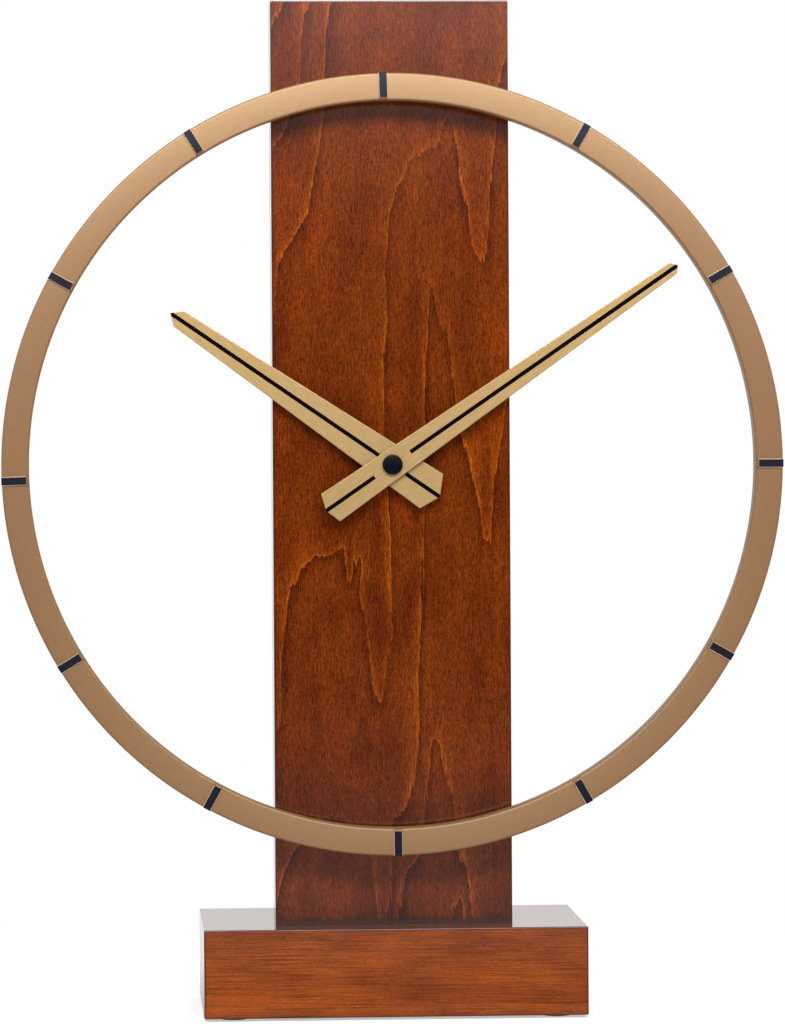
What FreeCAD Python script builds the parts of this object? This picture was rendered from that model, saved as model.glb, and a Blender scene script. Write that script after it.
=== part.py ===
import FreeCAD, Part
import math
import os

# Table clock: an upright wooden panel on a wooden base, a thin metal hour ring
# stood off the panel, two tapered hands and a battery quartz movement let into
# the panel's back.
# Millimetres. The origin is the middle of the footprint on the table, +Z is up
# and the clock faces -Y. Bearings are clockwise from twelve, seen from the front.

os.makedirs("parts", exist_ok=True)
Vec = FreeCAD.Vector

# ---------------------------------------------------------------- base and panel
base_width = 166.0
base_depth = 100.0
base_height = 38.3
base_edge = 0.6
foot_radius = 6.0
foot_thick = 1.2
foot_inset = 13.0
panel_width = 103.0
panel_height = 400.5
panel_thick = 26.0
panel_setback = 18.4          # base front to panel front
panel_edge = 0.5
dowel_radius = 4.0
dowel_length = 40.0
dowel_spacing = 70.0
base_screw_radius = 2.5
base_screw_head_radius = 4.8
base_screw_head_rise = 3.0
base_screw_sink = 10.0        # depth of the counterbore under the base
base_screw_bite = 32.0        # length in the panel
base_screw_spacing = 28.0
base_screw_slot_length = 5.8
base_screw_slot_width = 1.2
counterbore_gap = 0.6         # around a sunk screw head

# ---------------------------------------------------------------- hour ring
dial_height = 199.8           # base top to the dial centre
ring_radius = 168.5
ring_width = 11.8
ring_depth = 10.5
ring_standoff = 6.6           # panel front to ring back
ring_edge = 1.0
mark_width = 4.8
mark_draft = 0.7              # how far each side leans in over its height
mark_rise = 1.05
mark_inset = 0.2              # inner end of a mark, from the ring's inner edge
mark_heel = 0.8               # length of the rounded rise at the inner end
mark_heel_bulge = 0.3         # how far along and up its arc's middle point lies, as a share
mark_toe = 0.7                # radius over the ring's outer edge
mark_corner = 1.4             # plan corner radius at the inner end
inlay_width = 3.3
inlay_thick = 0.15
hours = 12
# how far each mark was set off its hour by hand, one to twelve, in degrees clockwise
mark_offsets = (0.0, 0.2, 0.1, -0.1, 0.15, -0.35, -1.1, -1.1, -2.1, -0.85, -1.5, -1.3)
spacer_radius = 3.5
spacer_bearing = 12.0         # degrees either side of twelve and of six
ring_screw_radius = 1.5
ring_screw_head_radius = 2.8
ring_screw_head_rise = 2.0
ring_screw_sink = 3.0
ring_screw_bite = 5.5
ring_screw_slot_length = 3.4
ring_screw_slot_width = 0.8

# ---------------------------------------------------------------- hands
hour_turn = math.radians(304.62)  # the hour hand's bearing: a little past nine minutes past ten
hand_thick = 0.8
stripe_width = 1.75
stripe_thick = 0.06
hour_hand_gap = 40.7          # tip to the ring's inner edge
hour_hand_tail = 25.0
hour_hand_tip_width = 7.9
hour_hand_tail_width = 18.0
hour_hand_point = 4.4
hour_stripe_start = 7.0
minute_hand_gap = 5.9         # tip to the ring's inner edge
minute_hand_tail = 35.0
minute_hand_tip_width = 5.6
minute_hand_tail_width = 14.4
minute_hand_point = 2.4
minute_stripe_start = 9.4
collet_wall = 1.4
collet_length = 1.5
hand_gap = 1.5                # hour hand front to the minute hand's collet
cap_radius = 4.35
cap_height = 2.2
cap_edge = 0.5

# ---------------------------------------------------------------- movement case
cell_radius = 7.25            # one AA cell
cell_length = 50.5            # with its button
cell_button_radius = 2.7
cell_button_length = 1.0
cell_gap = 0.3
contact_gap = 1.35            # room for a contact at each end of the cell
contact_thick = 0.3
contact_width = 9.0
contact_crest = 2.2           # flat of the bowed leaf that touches the cell
case_wall = 1.4
case_radius = 3.0
train_room = 36.7             # inner height of the part of the case over the cell
case_gap = 1.0                # case to recess
washer_thick = 0.8            # rubber washer between case and panel
washer_radius = 13.0
cover_gap = 0.1
cover_ledge = 0.7             # width of the ledge that the back cover lies on
bushing_radius = 4.0
bushing_flange_radius = 5.6
bushing_flange_thick = 0.9
bushing_hole_gap = 0.3
thread_pitch = 0.75
thread_depth = 0.3
nut_flats = 11.0
nut_thick = 2.0
flat_washer_radius = 6.2
flat_washer_thick = 0.5
bushing_past_nut = 0.6
hour_tube_past_hand = 0.3
knob_rise = 1.2
knob_radius = 4.2
knob_flutes = 16
plate_thick = 1.0
plate_gap = 0.6               # between the bearing plate and the back cover
plate_corner = 1.6
post_radius = 1.2
post_pin_radius = 0.6
post_gap = 0.6                # between a post and the tips of the nearest wheel
centre_post_bearing = math.radians(121.0)
reversing_post_bearing = math.radians(240.0)
third_post_bearing = math.radians(316.0)
intermediate_post_bearing = math.radians(95.0)

# ---------------------------------------------------------------- arbors and wheels
run_gap = 0.05                # radial running clearance
end_shake = 0.05
hour_tube_radius = 2.5
minute_arbor_radius = 1.75
second_arbor_radius = 0.6
arbor_radius = 0.6
pivot_radius = 0.35
pivot_length = 0.8
stud_radius = 0.9             # the fixed stud that carries the reversing wheel
stud_over = 0.3
wheel_thick = 0.8
wheel_windows = 3
window_share = 0.3            # a window's radius as a share of the web between arbor and rim
level_gap = 0.5               # between the wheels of neighbouring levels
pinion_over = 0.2             # a pinion stands this far past the wheel that it drives
knob_shaft_radius = 1.5
magnet_radius = 2.5
magnet_length = 2.2

pressure_angle = math.radians(20.0)
addendum = 0.8
dedendum = 1.1
backlash = 0.04
flank_steps = 2
motion_module = 0.42          # hour wheel, reversing wheel and cannon pinion
motion_shift = 0.4
train_shift = 0.5
rotor_module = 0.25
train_distance = 9.6          # centre axis to third wheel
second_distance = 9.4         # centre axis to intermediate wheel
rotor_teeth = 8
intermediate_teeth = 48
intermediate_pinion_teeth = 8
second_teeth = 40
second_pinion_teeth = 8
third_teeth = 60
third_pinion_teeth = 8
centre_teeth = 64
cannon_teeth = 10
reversing_teeth = 30
reversing_pinion_teeth = 8
hour_teeth = 32
knob_teeth = 10
third_bearing = math.radians(300.0)
intermediate_bearing = math.radians(50.0)
rotor_bearing = math.radians(30.0)
reversing_bearing = math.radians(250.0)
knob_bearing = math.radians(270.0)

# ---------------------------------------------------------------- motor and electronics
coil_radius = 3.5
coil_flange_radius = 4.2
coil_flange_thick = 0.8
coil_core_width = 2.6
bobbin_wall = 0.4
coil_clearance = 1.0          # coil to the top of the case
stator_thick = 1.0
stator_gap = 0.5              # rotor magnet to stator
stator_neck = 0.7             # web above and below the rotor
stator_side = 4.0             # metal beside the rotor
stator_arm = 4.5
board_width = 7.4
board_thick = 0.8
board_margin = 0.6            # round the board
board_level_gap = 0.05        # board front to the back of the coil's core
lug_length = 2.4
lug_width = 1.6
chip_radius = 2.4
chip_rise = 0.9
crystal_radius = 1.0
crystal_length = 6.0

# ---------------------------------------------------------------- heights and depths
base_top = foot_thick + base_height
dial_z = base_top + dial_height
panel_front = -base_depth / 2 + panel_setback
panel_back = panel_front + panel_thick
panel_middle = (panel_front + panel_back) / 2
ring_back = panel_front - ring_standoff
ring_front = ring_back - ring_depth
ring_inner = ring_radius - ring_width
ring_middle = ring_radius - ring_width / 2
hour_hand_length = ring_inner - hour_hand_gap
minute_hand_length = ring_inner - minute_hand_gap

cell_room = 2 * cell_radius + 2 * cell_gap
case_width = cell_length + 2 * contact_gap + 2 * case_wall
case_height = train_room + cell_room + 3 * case_wall
case_depth = case_wall + 2 * cell_radius + cell_gap / 2
recess_depth = washer_thick + case_depth + knob_rise
recess_floor = panel_back - recess_depth
case_front = recess_floor + washer_thick
case_back = case_front + case_depth
case_top = case_height / 2
case_bottom = -case_height / 2
bay_floor = case_bottom + case_wall
bay_top = bay_floor + cell_room
train_floor = bay_top + case_wall
train_top = case_top - case_wall
inside_half = case_width / 2 - case_wall
inside_front = case_front + case_wall
inside_back = case_back - case_wall
plate_back = inside_back - plate_gap
plate_front = plate_back - plate_thick
cell_y = case_back - cell_gap / 4 - cell_radius
cell_z = (bay_floor + bay_top) / 2
contact_front = cell_y - lug_width / 2

washer_front = panel_front - flat_washer_thick
nut_front = washer_front - nut_thick
bushing_front = nut_front - bushing_past_nut
hour_hand_back = bushing_front - end_shake - collet_length
hour_hand_front = hour_hand_back - hand_thick
hour_tube_front = hour_hand_front - hour_tube_past_hand
minute_hand_back = hour_hand_front - hand_gap
minute_hand_front = minute_hand_back - hand_thick
cap_front = minute_hand_front - cap_height
minute_arbor_front = minute_hand_front - cap_height / 2

# the front face of each level of wheels, from the front of the case backwards
flange_back = inside_front + bushing_flange_thick
hour_level = flange_back + end_shake
cannon_level = hour_level + wheel_thick + level_gap
centre_level = cannon_level + wheel_thick + 2 * level_gap
third_level = centre_level + wheel_thick + level_gap + pinion_over
second_level = third_level + wheel_thick + level_gap + pinion_over
intermediate_level = second_level + wheel_thick + level_gap + pinion_over
magnet_front = intermediate_level - pinion_over - level_gap - magnet_length


# ---------------------------------------------------------------- basic shapes
def block(x0, x1, y0, y1, z0, z1):
    """A box whose heights are measured from the dial centre."""
    return Part.makeBox(x1 - x0, y1 - y0, z1 - z0, Vec(x0, y0, dial_z + z0))


def disc(at, y0, y1, radius):
    """A cylinder along Y, at a point (x, z) measured from the dial centre."""
    return Part.makeCylinder(radius, y1 - y0, Vec(at[0], y0, dial_z + at[1]), Vec(0, 1, 0))


def tube(at, y0, y1, outer, inner):
    return disc(at, y0, y1, outer).cut(disc(at, y0, y1, inner))


def prism(points, y0, y1):
    """An outline of points (x, z) measured from the dial centre, drawn out along Y."""
    corners = [Vec(x, y0, dial_z + z) for x, z in points]
    face = Part.Face(Part.makePolygon(corners + corners[:1]))
    return face.extrude(Vec(0, y1 - y0, 0))


def slab(x0, x1, z0, z1, y0, y1, radius):
    """A plate across the Y axis with rounded corners."""
    plate = block(x0, x1, y0, y1, z0, z1)
    corners = [edge for edge in plate.Edges if edge.BoundBox.YLength > (y1 - y0) / 2]
    return plate.makeFillet(radius, corners)


def upright_rod(x, z0, z1, radius):
    """A cylinder along Z in the middle of the panel's thickness, heights from the table."""
    return Part.makeCylinder(radius, z1 - z0, Vec(x, panel_middle, z0))


def joined(first, *others):
    return first.fuse(list(others)).removeSplitter()


def polar(radius, bearing):
    """The point (x, z) at a radius and a bearing from the dial centre."""
    return (radius * math.sin(bearing), radius * math.cos(bearing))


def beside(at, distance, bearing):
    step = polar(distance, bearing)
    return (at[0] + step[0], at[1] + step[1])


def turned(shape, bearing):
    """A shape turned clockwise about the dial's axis."""
    copy = shape.copy()
    copy.rotate(Vec(0, 0, dial_z), Vec(0, 1, 0), math.degrees(bearing))
    return copy


def cross_recess(at, y0, y1):
    """The cross in the head of a ring screw, which points along Y."""
    reach = ring_screw_slot_length / 2
    half = ring_screw_slot_width / 2
    flat = block(at[0] - reach, at[0] + reach, y0, y1, at[1] - half, at[1] + half)
    tall = block(at[0] - half, at[0] + half, y0, y1, at[1] - reach, at[1] + reach)
    return joined(flat, tall)


# ---------------------------------------------------------------- gear teeth
def involute(angle):
    return math.tan(angle) - angle


def gear_outline(teeth, module, shift, at, phase):
    """Involute teeth as points (x, z), with the middle of one tooth at the bearing phase."""
    pitch_radius = teeth * module / 2
    base_radius = pitch_radius * math.cos(pressure_angle)
    root_radius = pitch_radius - module * (dedendum - shift)
    half_tooth = (math.pi / 2 + 2 * shift * math.tan(pressure_angle)) / teeth
    half_tooth -= backlash / (2 * pitch_radius)
    start_radius = max(base_radius, root_radius)
    rise = tip_radius(teeth, module, shift) - start_radius
    flank = []
    for step in range(flank_steps + 1):
        radius = start_radius + rise * step / flank_steps
        turn = involute(math.acos(min(1.0, base_radius / radius)))
        flank.append((radius, half_tooth + involute(pressure_angle) - turn))
    if root_radius < base_radius:
        flank.insert(0, (root_radius, flank[0][1]))
    points = []
    for tooth in range(teeth):
        middle = phase + 2 * math.pi * tooth / teeth
        points += [beside(at, radius, middle - half) for radius, half in flank]
        points += [beside(at, radius, middle + half) for radius, half in reversed(flank)]
    return points


def tip_radius(teeth, module, shift):
    return teeth * module / 2 + module * (addendum + shift)


def gear(teeth, module, shift, at, phase, y0, y1):
    return prism(gear_outline(teeth, module, shift, at, phase), y0, y1)


def meshed(phase, teeth, other_teeth, bearing):
    """The phase of a wheel that lies at a bearing from one whose phase is known."""
    return bearing + math.pi + math.pi / other_teeth - (phase - bearing) * teeth / other_teeth


def arbor(at):
    """A plain arbor from the case front to the bearing plate, with a thin pivot at each end."""
    front = inside_front + end_shake
    back = plate_front - end_shake
    return joined(disc(at, front, back, arbor_radius),
                  disc(at, front + end_shake - pivot_length, front + end_shake, pivot_radius),
                  disc(at, back - end_shake, plate_back, pivot_radius))


# ---------------------------------------------------------------- where the wheels stand
centre = (0.0, 0.0)
second_module = 2 * second_distance / (second_teeth + intermediate_pinion_teeth)
third_module = 2 * train_distance / (third_teeth + second_pinion_teeth)
centre_module = 2 * train_distance / (centre_teeth + third_pinion_teeth)
reversing_distance = motion_module * (cannon_teeth + reversing_teeth) / 2
knob_distance = motion_module * (reversing_teeth + knob_teeth) / 2
rotor_distance = rotor_module * (intermediate_teeth + rotor_teeth) / 2
third_at = beside(centre, train_distance, third_bearing)
intermediate_at = beside(centre, second_distance, intermediate_bearing)
rotor_at = beside(intermediate_at, rotor_distance, rotor_bearing)
reversing_at = beside(centre, reversing_distance, reversing_bearing)
knob_at = beside(reversing_at, knob_distance, knob_bearing)

# a wheel and the pinion on its arbor are set separately, each to the wheel that it drives
own_phase = 0.0
third_pinion_phase = meshed(own_phase, centre_teeth, third_pinion_teeth, third_bearing)
second_pinion_phase = meshed(
    own_phase, third_teeth, second_pinion_teeth, third_bearing + math.pi)
intermediate_pinion_phase = meshed(
    own_phase, second_teeth, intermediate_pinion_teeth, intermediate_bearing)
rotor_phase = meshed(own_phase, intermediate_teeth, rotor_teeth, rotor_bearing)
reversing_phase = meshed(own_phase, cannon_teeth, reversing_teeth, reversing_bearing)
hour_phase = meshed(
    own_phase, reversing_pinion_teeth, hour_teeth, reversing_bearing + math.pi)
knob_phase = meshed(reversing_phase, reversing_teeth, knob_teeth, knob_bearing)

# the bearing plate stands on four posts, each just clear of a wheel
centre_tip = tip_radius(centre_teeth, centre_module, -train_shift)
third_tip = tip_radius(third_teeth, third_module, -train_shift)
intermediate_tip = tip_radius(intermediate_teeth, rotor_module, -train_shift)
reversing_tip = tip_radius(reversing_teeth, motion_module, -motion_shift)
post_reach = post_gap + post_radius
plate_posts = [
    beside(centre, centre_tip + post_reach, centre_post_bearing),
    beside(reversing_at, reversing_tip + post_reach, reversing_post_bearing),
    beside(third_at, third_tip + post_reach, third_post_bearing),
    beside(intermediate_at, intermediate_tip + post_reach, intermediate_post_bearing)]
plate_sites = [third_at, intermediate_at, rotor_at, centre]

# the coil lies along X under the top of the case, its core across the stator's two arms
coil_z = train_top - coil_clearance - coil_flange_radius
stator_front = magnet_front + (magnet_length - stator_thick) / 2
stator_back = stator_front + stator_thick
core_back = stator_back + stator_thick
coil_y = (stator_back + core_back) / 2
bobbin_radius = math.hypot(coil_core_width, stator_thick) / 2 + bobbin_wall
stator_hole = magnet_radius + stator_gap
board_left = -inside_half + board_margin
board_right = board_left + board_width
board_front = core_back + board_level_gap
board_back = board_front + board_thick
board_bottom = train_floor + board_margin
board_top = train_top - board_margin
stator_left = board_right + board_margin
stator_right = rotor_at[0] + stator_hole + stator_side / 2 + stator_arm
arm_sites = [(stator_left + stator_arm / 2, coil_z), (stator_right - stator_arm / 2, coil_z)]
board_middle = (board_left + board_right) / 2
board_third = (board_top - board_bottom) / 3
board_posts = [(board_middle, board_bottom + 2 * post_radius),
               (board_middle, board_top - 2 * post_radius)]
bobbin_left = stator_left + stator_arm + cover_gap
bobbin_right = stator_right - stator_arm - cover_gap
spacer_sites = [
    polar(ring_middle, math.radians(half_turn + side * spacer_bearing))
    for half_turn in (0, 180) for side in (-1, 1)]
base_screw_places = (-base_screw_spacing / 2, base_screw_spacing / 2)
dowel_places = (-dowel_spacing / 2, dowel_spacing / 2)
screw_hole_radius = ring_screw_radius + counterbore_gap / 2
minute_turn = hours * hour_turn


# ---------------------------------------------------------------- woodwork
def make_base_block():
    wood = Part.makeBox(base_width, base_depth, base_height,
                        Vec(-base_width / 2, -base_depth / 2, foot_thick))
    wood = wood.makeFillet(base_edge, wood.Edges)
    seat = foot_thick + base_screw_sink
    for x in base_screw_places:
        wood = wood.cut(upright_rod(x, foot_thick, base_top, base_screw_radius))
        wood = wood.cut(upright_rod(x, foot_thick, seat, base_screw_head_radius + counterbore_gap))
    for x in dowel_places:
        wood = wood.cut(upright_rod(x, base_top - dowel_length / 2, base_top, dowel_radius))
    return wood


def make_upright_panel():
    wood = Part.makeBox(panel_width, panel_thick, panel_height,
                        Vec(-panel_width / 2, panel_front, base_top))
    bare = [edge for edge in wood.Edges if edge.BoundBox.ZMax > base_top + panel_edge]
    wood = wood.makeFillet(panel_edge, bare)
    half_width = case_width / 2 + case_gap
    half_height = case_height / 2 + case_gap
    wood = wood.cut(slab(-half_width, half_width, -half_height, half_height,
                         recess_floor, panel_back + case_gap, case_radius + case_gap))
    wood = wood.cut(disc(centre, panel_front, recess_floor, bushing_radius + bushing_hole_gap))
    for at in spacer_sites:
        wood = wood.cut(disc(at, panel_front, panel_back, screw_hole_radius))
        wood = wood.cut(disc(at, panel_back - ring_screw_sink, panel_back,
                             ring_screw_head_radius + counterbore_gap))
    for x in base_screw_places:
        wood = wood.cut(upright_rod(x, base_top, base_top + base_screw_bite, base_screw_radius))
    for x in dowel_places:
        wood = wood.cut(upright_rod(x, base_top, base_top + dowel_length / 2, dowel_radius))
    return wood


def make_panel_dowels():
    return Part.makeCompound([
        upright_rod(x, base_top - dowel_length / 2, base_top + dowel_length / 2, dowel_radius)
        for x in dowel_places])


def make_base_screws():
    screws = []
    seat = foot_thick + base_screw_sink
    underside = seat - base_screw_head_rise
    slot_reach = base_screw_slot_length / 2
    slot_half = base_screw_slot_width / 2
    for x in base_screw_places:
        screw = joined(upright_rod(x, underside, seat, base_screw_head_radius),
                       upright_rod(x, seat, base_top + base_screw_bite, base_screw_radius))
        for reach_x, reach_y in ((slot_reach, slot_half), (slot_half, slot_reach)):
            slot = Part.makeBox(2 * reach_x, 2 * reach_y, base_screw_head_rise / 2,
                                Vec(x - reach_x, panel_middle - reach_y, underside))
            screw = screw.cut(slot)
        screws.append(screw)
    return Part.makeCompound(screws)


def make_base_feet():
    feet = []
    for x in (foot_inset - base_width / 2, base_width / 2 - foot_inset):
        for y in (foot_inset - base_depth / 2, base_depth / 2 - foot_inset):
            feet.append(Part.makeCylinder(foot_radius, foot_thick, Vec(x, y, 0)))
    return Part.makeCompound(feet)


# ---------------------------------------------------------------- ring, marks and fixings
def make_ring_blank():
    ring = tube(centre, ring_front, ring_back, ring_radius, ring_inner)
    return ring.makeFillet(ring_edge, ring.Edges)


def make_dial_ring():
    ring = make_ring_blank()
    for at in spacer_sites:
        ring = ring.cut(disc(at, ring_back - ring_screw_bite, ring_back, ring_screw_radius))
    return ring


def make_mark_bar(grow):
    """The mark at twelve before its sides are sloped: a bar rounded up from its inner end
    and over the ring's outer edge, with its top and outer end moved out by grow."""
    inner = ring_inner + mark_inset
    outer = ring_radius + grow
    toe = mark_toe + grow
    top = ring_front - mark_rise - grow
    foot = ring_front + 2 * ring_edge
    heel = inner + mark_heel

    def point(radial, depth):
        return Vec(-mark_width, depth, dial_z + radial)

    rise_middle = point(inner + mark_heel_bulge * mark_heel,
                        top + mark_heel_bulge * (ring_front - top))
    toe_middle = point(outer - toe * (1 - math.sqrt(0.5)), top + toe * (1 - math.sqrt(0.5)))
    edges = [
        Part.LineSegment(point(inner, foot), point(inner, ring_front)),
        Part.Arc(point(inner, ring_front), rise_middle, point(heel, top)),
        Part.LineSegment(point(heel, top), point(outer - toe, top)),
        Part.Arc(point(outer - toe, top), toe_middle, point(outer, top + toe)),
        Part.LineSegment(point(outer, top + toe), point(outer, foot)),
        Part.LineSegment(point(outer, foot), point(inner, foot))]
    profile = Part.Face(Part.Wire([edge.toShape() for edge in edges]))
    return profile.extrude(Vec(2 * mark_width, 0, 0))


def make_hour_mark():
    """The mark at twelve, its sides sloped and its underside shaped to the ring."""
    foot = ring_front + 2 * ring_edge
    top = ring_front - mark_rise
    inner = dial_z + ring_inner + mark_inset
    half_top = mark_width / 2 - mark_draft
    half_foot = half_top + mark_draft * (foot - top) / mark_rise
    section = [Vec(-half_foot, foot, inner), Vec(half_foot, foot, inner),
               Vec(half_top, top, inner), Vec(-half_top, top, inner)]
    sides = Part.Face(Part.makePolygon(section + section[:1])).extrude(Vec(0, 0, ring_width))
    plan = slab(-mark_width / 2, mark_width / 2, ring_inner + mark_inset,
                ring_radius + ring_width, top, foot, mark_corner)
    return make_mark_bar(0.0).common(sides).common(plan).cut(make_ring_blank())


def make_mark_inlay():
    """The dark strip over the top and the outer end of the mark at twelve."""
    half = inlay_width / 2
    start = ring_inner + mark_inset + mark_heel
    strip = block(-half, half, ring_front - mark_rise - inlay_thick, ring_front,
                  start, ring_radius + inlay_thick)
    return make_mark_bar(inlay_thick).common(strip).cut(make_mark_bar(0.0))


def make_ring_spacers():
    return Part.makeCompound([
        tube(at, ring_back, panel_front, spacer_radius, screw_hole_radius) for at in spacer_sites])


def make_ring_screws():
    screws = []
    seat = panel_back - ring_screw_sink
    top = seat + ring_screw_head_rise
    for at in spacer_sites:
        screw = joined(disc(at, seat, top, ring_screw_head_radius),
                       disc(at, ring_back - ring_screw_bite, seat, ring_screw_radius))
        screws.append(screw.cut(cross_recess(at, seat + ring_screw_head_rise / 2, top)))
    return Part.makeCompound(screws)


# ---------------------------------------------------------------- hands
def make_hand(length, tail, point, tip_width, tail_width, back, front, hole):
    """A flat tapered hand that points to twelve, with a blunt point at each end."""
    outline = [(0, length), (tip_width / 2, length - point), (tail_width / 2, point - tail),
               (0, -tail), (-tail_width / 2, point - tail), (-tip_width / 2, length - point)]
    return prism(outline, front, back).cut(disc(centre, front, back, hole))


def make_stripes(length, tail, point, tip_width, tail_width, start, front):
    """The dark line along a hand, in two lengths that end at its points."""
    half = stripe_width / 2
    shoulder = length - point * stripe_width / tip_width
    heel = tail - point * stripe_width / tail_width
    ahead = [(-half, start), (half, start), (half, shoulder), (0, length), (-half, shoulder)]
    behind = [(-half, -start), (half, -start), (half, -heel), (0, -tail), (-half, -heel)]
    return Part.makeCompound([
        prism(ahead, front - stripe_thick, front), prism(behind, front - stripe_thick, front)])


def make_hour_hand():
    hand = make_hand(hour_hand_length, hour_hand_tail, hour_hand_point, hour_hand_tip_width,
                     hour_hand_tail_width, hour_hand_back, hour_hand_front, hour_tube_radius)
    return turned(hand, hour_turn)


def make_hour_hand_stripes():
    stripes = make_stripes(hour_hand_length, hour_hand_tail, hour_hand_point, hour_hand_tip_width,
                           hour_hand_tail_width, hour_stripe_start, hour_hand_front)
    return turned(stripes, hour_turn)


def make_hour_hand_collet():
    return tube(centre, hour_hand_back, hour_hand_back + collet_length,
                hour_tube_radius + collet_wall, hour_tube_radius)


def make_minute_hand():
    hand = make_hand(minute_hand_length, minute_hand_tail, minute_hand_point,
                     minute_hand_tip_width, minute_hand_tail_width, minute_hand_back,
                     minute_hand_front, minute_arbor_radius)
    return turned(hand, minute_turn)


def make_minute_hand_stripes():
    stripes = make_stripes(minute_hand_length, minute_hand_tail, minute_hand_point,
                           minute_hand_tip_width, minute_hand_tail_width,
                           minute_stripe_start, minute_hand_front)
    return turned(stripes, minute_turn)


def make_minute_hand_collet():
    return tube(centre, minute_hand_back, hour_tube_front - end_shake,
                minute_arbor_radius + collet_wall, minute_arbor_radius)


def make_centre_cap():
    cap = disc(centre, cap_front, minute_hand_front, cap_radius)
    rim = [edge for edge in cap.Edges if edge.BoundBox.YMax < cap_front + cap_edge]
    cap = cap.makeFillet(cap_edge, rim)
    return cap.cut(disc(centre, minute_arbor_front, minute_hand_front, minute_arbor_radius))


# ---------------------------------------------------------------- movement case and fixings
def make_movement_front_shell():
    half = case_width / 2
    corner = case_radius - case_wall
    shell = slab(-half, half, case_bottom, case_top, case_front, case_back, case_radius)
    shell = shell.cut(slab(-inside_half, inside_half, train_floor, train_top,
                           inside_front, case_back, corner))
    shell = shell.cut(block(-inside_half, inside_half, inside_front, inside_back,
                            train_floor, train_floor + corner))
    shell = shell.cut(slab(-inside_half - cover_ledge, inside_half + cover_ledge,
                           train_floor - cover_ledge, train_top + cover_ledge,
                           inside_back, case_back, corner + cover_ledge))
    shell = shell.cut(block(-inside_half, inside_half, inside_front, case_back, bay_floor, bay_top))
    for at in plate_posts:
        shell = joined(shell, disc(at, inside_front, plate_front, post_radius),
                       disc(at, plate_front, plate_back, post_pin_radius))
    for at in arm_sites:
        shell = joined(shell, disc(at, inside_front, stator_front, post_radius),
                       disc(at, stator_front, core_back, post_pin_radius))
    for at in board_posts:
        shell = joined(shell, disc(at, inside_front, board_front, post_radius),
                       disc(at, board_front, board_back, post_pin_radius))
    shell = joined(shell, disc(reversing_at, inside_front,
                               cannon_level + wheel_thick + stud_over, stud_radius))
    shell = shell.cut(disc(centre, case_front, inside_front, bushing_radius))
    for at in (third_at, intermediate_at, rotor_at, knob_at):
        shell = shell.cut(disc(at, inside_front - pivot_length, inside_front,
                               pivot_radius + run_gap))
    slot = block(-inside_half, -inside_half + contact_thick, contact_front,
                 contact_front + lug_width, bay_top, train_floor)
    other_slot = block(inside_half - contact_thick, inside_half, board_back,
                       board_back + lug_width, bay_top, train_floor)
    return shell.cut(slot).cut(other_slot)


def make_movement_back_cover():
    half = inside_half + cover_ledge - cover_gap
    cover = slab(-half, half, train_floor - cover_ledge + cover_gap,
                 train_top + cover_ledge - cover_gap, inside_back, case_back,
                 case_radius - case_wall + cover_ledge - cover_gap)
    return cover.cut(disc(knob_at, inside_back, case_back, knob_shaft_radius + run_gap))


def make_threaded_bushing():
    bushing = joined(disc(centre, bushing_front, inside_front, bushing_radius),
                     disc(centre, inside_front, flange_back, bushing_flange_radius))
    for turn in range(int(bushing_past_nut / thread_pitch) + 1):
        groove = bushing_front + thread_pitch / 3 + thread_pitch * turn
        bushing = bushing.cut(tube(centre, groove, groove + thread_pitch / 3,
                                   bushing_radius, bushing_radius - thread_depth))
    return bushing.cut(disc(centre, bushing_front, flange_back, hour_tube_radius + run_gap))


def make_rubber_washer():
    return tube(centre, recess_floor, case_front, washer_radius, bushing_radius)


def make_flat_washer():
    return tube(centre, washer_front, panel_front, flat_washer_radius, bushing_radius)


def make_hex_nut():
    corner = nut_flats / math.sqrt(3)
    outline = [polar(corner, math.pi * side / 3) for side in range(6)]
    return prism(outline, nut_front, washer_front).cut(
        disc(centre, nut_front, washer_front, bushing_radius))


def make_bearing_plate():
    reach = 2 * post_radius
    across = [at[0] for at in plate_posts + plate_sites + [knob_at]]
    tops = [at[1] for at in plate_posts + plate_sites]
    plate = slab(min(across) - reach, max(across) + reach, train_floor + cover_gap,
                 max(tops) + reach, plate_front, plate_back, plate_corner)
    plate = plate.cut(disc(knob_at, plate_front, plate_back, knob_shaft_radius + run_gap))
    for at in plate_sites:
        plate = plate.cut(disc(at, plate_front, plate_back, pivot_radius + run_gap))
    for at in plate_posts:
        plate = plate.cut(disc(at, plate_front, plate_back, post_pin_radius))
    return plate


# ---------------------------------------------------------------- wheels
def make_hour_wheel():
    back = hour_level + wheel_thick
    wheel = joined(gear(hour_teeth, motion_module, -motion_shift, centre, hour_phase,
                        hour_level, back),
                   disc(centre, hour_tube_front, back, hour_tube_radius))
    return wheel.cut(disc(centre, hour_tube_front, back, minute_arbor_radius + run_gap))


def make_minute_arbor():
    back = centre_level + wheel_thick
    stem = joined(disc(centre, minute_arbor_front, back, minute_arbor_radius),
                  gear(cannon_teeth, motion_module, motion_shift, centre, own_phase,
                       cannon_level - pinion_over, cannon_level + wheel_thick + pinion_over))
    return stem.cut(disc(centre, bushing_front, back, second_arbor_radius + run_gap))


def make_centre_wheel():
    """The friction wheel, gripped on the minute arbor by the web between its windows."""
    back = centre_level + wheel_thick
    wheel = gear(centre_teeth, centre_module, -train_shift, centre, own_phase, centre_level, back)
    wheel = wheel.cut(disc(centre, centre_level, back, minute_arbor_radius))
    root = centre_tip - centre_module * (addendum + dedendum)
    window_distance = (minute_arbor_radius + root) / 2
    window_radius = window_share * (root - minute_arbor_radius)
    for window in range(wheel_windows):
        at = polar(window_distance, 2 * math.pi * (window + 0.5) / wheel_windows)
        wheel = wheel.cut(disc(at, centre_level, back, window_radius))
    return wheel


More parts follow.
